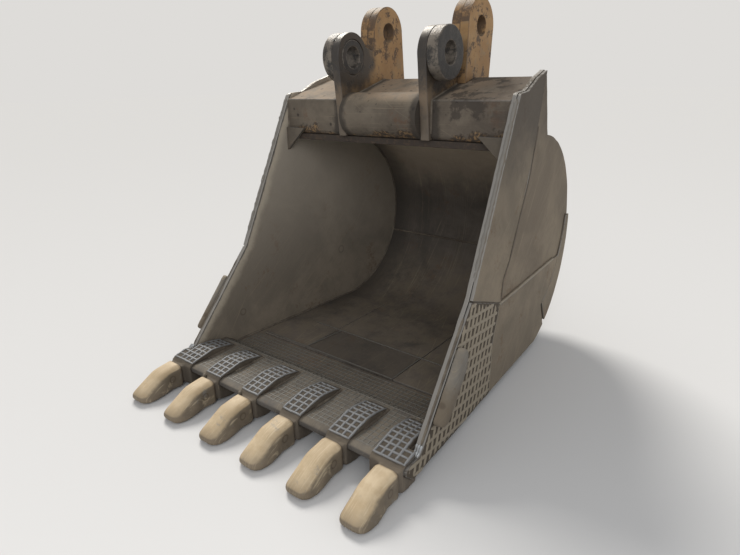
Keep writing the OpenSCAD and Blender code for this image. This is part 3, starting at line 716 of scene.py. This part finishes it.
# Lines along a pad: their places in its half width, where they start, and the step between their points
PAD_LINES, PAD_START, PAD_STEP = (-0.88, -0.29, 0.29, 0.88), 0.266, 0.012
# Rows across a pad: the first and the last that may be, how far they reach in its half width, their spacing
PAD_ROWS, PAD_REACH, PAD_SPACING = (0.268, 0.515), 0.97, 0.0295
# How deep the beads' middles lie in the pads, the lip and the floor
PAD_SINK, LIP_SINK, FLOOR_SINK = 0.0030, 0.0022, 0.0024
# Spacing of the lip's net, half of its width, and the range of its lines along the lip
LIP_MESH, LIP_HALF, LIP_LINES = 0.0262, 0.668, (-0.664, 0.67)
# Where those lines start beside a pad and behind one, and where the first row lies
LIP_START, BEHIND_PAD, LIP_ROW = 0.284, 0.534, 0.292
# The ramp behind the lip, its length and its drop, and the same for each of its two rows
RAMP_RUN, RAMP_DROP, ROW_RUN, ROW_DROP = 0.060, 0.043, 0.02, 0.0143


def pad_height(y):
    """Height of an adapter's pad at a distance back."""
    for (y0, z0), (y1, z1) in zip(PAD_TOP, PAD_TOP[1:]):
        if y <= y1:
            return z0 + (z1 - z0) * (y - y0) / (y1 - y0)
    return PAD_TOP[-1][1]


def pad_net(i):
    """Lines of the net on the pad of adapter i: four or five along it, and rows across it."""
    middle, shift = tooth_x(i), pad_shift(i)
    lines = []
    marks = [PAD_START + PAD_STEP * k for k in range(22)]
    for share in PAD_LINES:
        x = middle + shift + share * PAD_HALF
        lines.append([parked(x + random.uniform(-0.001, 0.001), y, pad_height(y) - PAD_SINK) for y in marks])
    if shift:
        x = middle - math.copysign(PAD_LINES[-1] * PAD_HALF, shift)
        lines.append([parked(x, y, pad_height(y) - PAD_SINK) for y in marks[:7]])
    y = PAD_ROWS[0]
    while y < PAD_ROWS[1]:
        ends = [middle + shift - PAD_REACH * PAD_HALF, middle + shift + PAD_REACH * PAD_HALF]
        if shift and y < PAD_FRONT - 0.006:
            near = middle - math.copysign(PAD_HALF, shift) * PAD_REACH
            ends = [min(ends[0], near), max(ends[1], near)]
        lines.append([parked(ends[0] + (ends[1] - ends[0]) * k / 9, y + random.uniform(-0.0012, 0.0012),
                             pad_height(y) - PAD_SINK) for k in range(10)])
        y += PAD_SPACING + random.uniform(-0.001, 0.001)
    return lines


pad_lines = [line for i in range(TEETH) for line in pad_net(i)]
beads("pad_nets", pad_lines, 0.0070, "pad_bead", "lip_steel", (0, 0, 1), sides=2)


def across(left, right, y, z, step, wander=0.001):
    """A line from left to right, about a step between its points, each a little ahead or behind at random."""
    return [spot + Vector((0, random.uniform(-wander, wander), 0))
            for spot in stepped(parked(left, y, z), parked(right, y, z), step)]


def lip_net():
    """The finer, lower net on the lip, between and behind the adapters and on over the floor's front."""
    lines = []
    pads = []
    for i in range(TEETH):
        middle = tooth_x(i) + pad_shift(i)
        pads.append((middle - PAD_HALF - 0.008, middle + PAD_HALF + 0.008))
    top, floor = LIP_TOP - LIP_SINK, FLOOR_TOP - FLOOR_SINK
    x = LIP_LINES[0]
    while x < LIP_LINES[1]:
        start = BEHIND_PAD if any(a < x < b for a, b in pads) else LIP_START
        spots = [(start + 0.014 * k, top) for k in range(int((LIP_RAMP - start) / 0.014) + 1)]
        spots += [(LIP_RAMP + RAMP_RUN * k / 4, top - RAMP_DROP * k / 4) for k in range(1, 5)]
        spots += [(LIP_BACK + 0.015 * k, floor) for k in range(1, 11)]
        lines.append([parked(x + random.uniform(-0.001, 0.001), a, b) for a, b in spots])
        x += LIP_MESH
    y = LIP_ROW
    while y < LIP_RAMP:
        edges = [-LIP_HALF]
        for a, b in pads:
            if y < PAD_REAR:
                edges += [a, b]
        edges.append(LIP_HALF)
        for a, b in zip(edges[::2], edges[1::2]):
            if b - a > 0.02:
                lines.append(across(a, b, y, top, 0.016))
        y += LIP_MESH
    for k in (1, 2):
        lines.append(stepped(parked(-LIP_HALF, LIP_RAMP + ROW_RUN * k, top - ROW_DROP * k),
                             parked(LIP_HALF, LIP_RAMP + ROW_RUN * k, top - ROW_DROP * k), 0.02))
    for k in range(6):
        lines.append(across(-0.662, 0.662, LIP_BACK + 0.012 + LIP_MESH * k, floor, 0.018))
    return lines


beads("lip_net", lip_net(), 0.0042, "lip_bead", "lip_steel", (0, 0, 1))

# Outline of the net on a cheek plate, back and up
CHEEK = [(0.386, 0.122), (0.368, 0.112), (0.272, 0.110), (0.270, 0.094), (0.308, 0.055), (0.374, 0.048),
         (1.003, 0.048), (1.001, 0.318), (1.056, 0.472), (0.762, 0.580), (0.672, 0.482)]
CHEEK_T, CHEEK_SINK = 0.012, 0.0058
# Angle and spacing of each set of beads
CHEEK_NET = ((math.radians(72), 0.039), (math.radians(-7), 0.047))


def cheek_net(side):
    """Lines of the net on the left (-1) or right (1) cheek plate."""
    lines = []
    for angle, spacing in CHEEK_NET:
        for a, b in hatch(CHEEK, angle, spacing):
            lines.append([beside(side, CHEEK_T - CHEEK_SINK, spot.x + random.uniform(-0.0012, 0.0012),
                                 spot.y + random.uniform(-0.0012, 0.0012)) for spot in stepped(a, b, 0.017)])
    return lines


for side, name in ((-1, "left"), (1, "right")):
    beads("cheek_net_" + name, cheek_net(side), 0.0102, "cheek_bead", "armour", (1, 0, 0), sides=2)


# Weld seams

# Radius on which the inner seams follow the rolled wrapper
SEAM_R = HEEL_R - 0.031


def heel_spot(x, turn):
    """A point inside the rolled wrapper, at an angle in degrees about the heel's middle."""
    turn = math.radians(turn)
    return parked(x, HEEL_Y + SEAM_R * math.cos(turn), HEEL_Z + SEAM_R * math.sin(turn))


def heel_arc(side):
    """Points along the corner between a side plate and the rolled wrapper, from the floor up to the roof."""
    spots = []
    for k in range(49):
        turn = -90 + 180 * k / 48
        spots.append(heel_spot(side * inner_half(HEEL_Y + SEAM_R * math.cos(math.radians(turn))), turn))
    return spots


seams = []
for side in (-1, 1):
    floor = [parked(side * inner_half(y), y, FLOOR_TOP + 0.002) for y in (LIP_BACK, 1.1, HEEL_Y)]
    roof = [parked(side * inner_half(y), y, CROWN - UPPER_T) for y in (HEEL_Y, BEAM_Y + 0.012)]
    seams.append(along(floor, 0.03) + heel_arc(side)[1:] + along(roof, 0.03)[1:])
    seams.append(along([parked(side * inner_half(y), y, LIP_TOP) for y in (0.375, LIP_RAMP)]
                       + [parked(side * inner_half(LIP_BACK), LIP_BACK, FLOOR_TOP)], 0.025))
    seams.append(along([parked(side * inner_half(BEAM_Y), BEAM_Y + 0.002, z)
                        for z in (CROWN, BEAM_TOP - 0.01)], 0.02))
    for ear in (EAR_IN, EAR_OUT):
        seams.append(along([parked(side * ear, BEAM_Y, z) for z in (CROWN + 0.03, BEAM_TOP - 0.004)]
                           + [parked(side * ear, 1.436, 1.432)], 0.02))
for edge in (-1, 1):
    for i in range(TEETH):
        seams.append(along([parked(tooth_x(i) + pad_shift(i) + edge * PAD_HALF, y, LIP_TOP)
                            for y in (PAD_FRONT + 0.01, PAD_REAR)], 0.02))
seams.append(along([heel_spot(x, -20) for x in (-0.585, 0.585)], 0.03))
beads("inner_seams", seams, 0.0075, "weld", "inside")

# Beads along the front, rear, left and right edges of the middle liner
LINER_FRONT, LINER_REAR = 0.780, 1.050
floor_lines = [
    stepped(parked(-0.60, LINER_FRONT + 0.01, LINER_TOP), parked(LINER_X, LINER_FRONT, LINER_TOP), 0.02),
    stepped(parked(-0.46, LINER_REAR, LINER_TOP), parked(0.41, LINER_REAR - 0.02, LINER_TOP), 0.02),
    stepped(parked(-LINER_X, LINER_FRONT, LINER_TOP), parked(-LINER_X + 0.03, LINER_REAR, LINER_TOP), 0.02),
    stepped(parked(LINER_X, LINER_FRONT, LINER_TOP), parked(LINER_X, LINER_REAR - 0.01, LINER_TOP), 0.02),
]
beads("floor_beads", floor_lines, 0.0050, "lip_bead", "inside", (0, 0, 1))


def mouth_line(side, low, top, marks, count, back):
    """Points along a stretch of a side plate's mouth edge, at marks counted in parts of its length."""
    return [beside(side, 0.0, low[0] + (top[0] - low[0]) * k / count + back,
                   low[1] + (top[1] - low[1]) * k / count) for k in marks]


edge_lines, low_lines = [], []
for side in (-1, 1):
    edge_lines.append(mouth_line(side, MOUTH_BEND, MOUTH_TOP, range(5, 59), 60, 0.0085))
    low_lines.append(mouth_line(side, MOUTH_FOOT, MOUTH_BEND, range(2, 36), 40, 0.0055))
beads("edge_seams", edge_lines, 0.0112, "edge_bead", "armour", (0, 1, 0), swell=0.34)
beads("low_edge_seams", low_lines, 0.0060, "weld", "armour")

# Outer seams: the bar's rear edge and its joint with the cheek plate, the rear of the cheek plate with the
# top of the wear plate, and the welds at the foot of the mouth edge
BAR_REAR = [(1.070, 0.480), (1.080, 0.584), (1.140, 0.655), (1.218, 0.804), (1.317, 0.991), (1.390, 1.222)]
BAR_JOINT = [(0.772, 0.586), (1.068, 0.477)]
WEAR_EDGE = [(CHEEK_REAR + 0.003, 0.050), (CHEEK_REAR + 0.003, 0.300), (1.073, 0.470), (1.094, 0.466),
             (1.880, 0.463)]
MOUTH_WELD = [(0.336, 0.117), (0.356, 0.124), (0.374, 0.146)]
# The heel strip's inner edge: its radius, and how far its middle lies ahead of the heel's and above it
STRIP_R, STRIP_AHEAD, STRIP_UP = 0.569, 0.050, 0.145


def crescent():
    """The inner edge of a heel strip, back and up."""
    spots = []
    for k in range(25):
        turn = math.radians(-66 + 60 * k / 24)
        spots.append((HEEL_Y - STRIP_AHEAD + STRIP_R * math.cos(turn),
                      HEEL_Z + STRIP_UP + STRIP_R * math.sin(turn)))
    return spots


def on_plate(side, out, way, step=0.025):
    """Points along a way over a side plate, out metres beyond its outer face."""
    return along([beside(side, out, y, z) for y, z in way], step)


outer, light, corner, darkening = [], [], [], []
for side in (-1, 1):
    darkening.append(on_plate(side, 0.0115, [(y + 0.001, z) for y, z in BAR_REAR]))
    outer.append(on_plate(side, 0.002, crescent()))
    outer.append(on_plate(side, 0.006, BAR_JOINT))
    light.append(on_plate(side, 0.003, WEAR_EDGE))
    corner += [on_plate(side, out, MOUTH_WELD, 0.008) for out in (-0.012, -0.002, 0.008)]
beads("outer_seams", outer, 0.0045, "weld", "armour")
# A dark line of beads along the bar's rear edge
beads("bar_seams", darkening, 0.0060, "dark_bar_line", "armour", (1, 0, 0))
beads("light_seams", light, 0.0085, "cheek_bead", "armour", (1, 0, 0))
beads("corner_welds", corner, 0.0075, "corner_bead", "armour", (0, 0, 1), swell=0.35)


# Stage, lights and camera

FLOOR_TONE = tone(211, 212, 214)
# The floor's far end comes out in this tone
BACKDROP_TONE = tone(222, 220, 217)
# The camera: its turns, its place, and its focal length and the picture's width in pixels
YAW, PITCH, ROLL = math.radians(38.03), math.radians(20.0), math.radians(-1.01)
CAMERA_SPOT = parked(1.597, -1.055, 1.425)
FOCAL, PICTURE_W, SENSOR_W = 540, 740, 36


def stage():
    """The pale floor, and a world that lights softly and shows the backdrop's tone."""
    bpy.ops.mesh.primitive_plane_add(size=120, location=(0, 20, -PIN.z - 0.0005))
    ground = bpy.context.object
    ground.name = "studio_floor"
    f = Finish("pale_floor")
    f.shader.inputs["Specular IOR Level"].default_value = 0.0
    ground.data.materials.append(f.finished(FLOOR_TONE, 0.9))

    world = bpy.data.worlds.new("studio")
    bpy.context.scene.world = world
    world.use_nodes = True
    tree = world.node_tree
    shine = tree.nodes["Background"]
    shine.inputs["Color"].default_value = (1, 0.985, 0.96, 1)
    shine.inputs["Strength"].default_value = 0.50
    seen = tree.nodes.new("ShaderNodeBackground")
    seen.inputs["Color"].default_value = BACKDROP_TONE
    path = tree.nodes.new("ShaderNodeLightPath")
    joined = tree.nodes.new("ShaderNodeMixShader")
    rays = path.outputs["Is Camera Ray"]
    for kind in ("Is Glossy Ray", "Is Transmission Ray"):
        either = tree.nodes.new("ShaderNodeMath")
        either.operation = "MAXIMUM"
        tree.links.new(rays, either.inputs[0])
        tree.links.new(path.outputs[kind], either.inputs[1])
        rays = either.outputs[0]
    tree.links.new(rays, joined.inputs[0])
    tree.links.new(shine.outputs[0], joined.inputs[1])
    tree.links.new(seen.outputs[0], joined.inputs[2])
    tree.links.new(joined.outputs[0], tree.nodes["World Output"].inputs["Surface"])


def aimed(name, data, spot, aim):
    """A lamp at a spot, turned to an aim."""
    made = bpy.data.objects.new(name, data)
    bpy.context.scene.collection.objects.link(made)
    made.location = spot
    made.rotation_euler = (Vector(aim) - Vector(spot)).to_track_quat("-Z", "Y").to_euler()


stage()
key = bpy.data.lights.new("key", "SUN")
key.energy = 2.9
key.angle = math.radians(22)
key.color = (1.0, 0.955, 0.88)
aimed("key", key, (-4.9, 3.1, 4.5), (0, -0.3, -1.0))
fill = bpy.data.lights.new("fill", "AREA")
fill.shape = "SQUARE"
fill.size = 4.0
fill.energy = 170
fill.color = (0.97, 0.98, 1.0)
aimed("fill", fill, (4.0, -6.2, 3.0), (0, 0, -0.9))

ahead = Vector((-math.sin(YAW) * math.cos(PITCH), math.cos(YAW) * math.cos(PITCH), -math.sin(PITCH)))
level = Vector((math.cos(YAW), math.sin(YAW), 0))
upward = level.cross(ahead)
turned_right = level * math.cos(ROLL) + upward * math.sin(ROLL)
turned_up = upward * math.cos(ROLL) - level * math.sin(ROLL)
camera = bpy.data.objects.new("Camera", bpy.data.cameras.new("Camera"))
bpy.context.scene.collection.objects.link(camera)
aim = Matrix((turned_right, turned_up, -ahead)).transposed().to_4x4()
aim.translation = CAMERA_SPOT
camera.matrix_world = aim
camera.data.lens = FOCAL / PICTURE_W * SENSOR_W
bpy.context.scene.camera = camera
bpy.context.scene.view_settings.view_transform = "Standard"
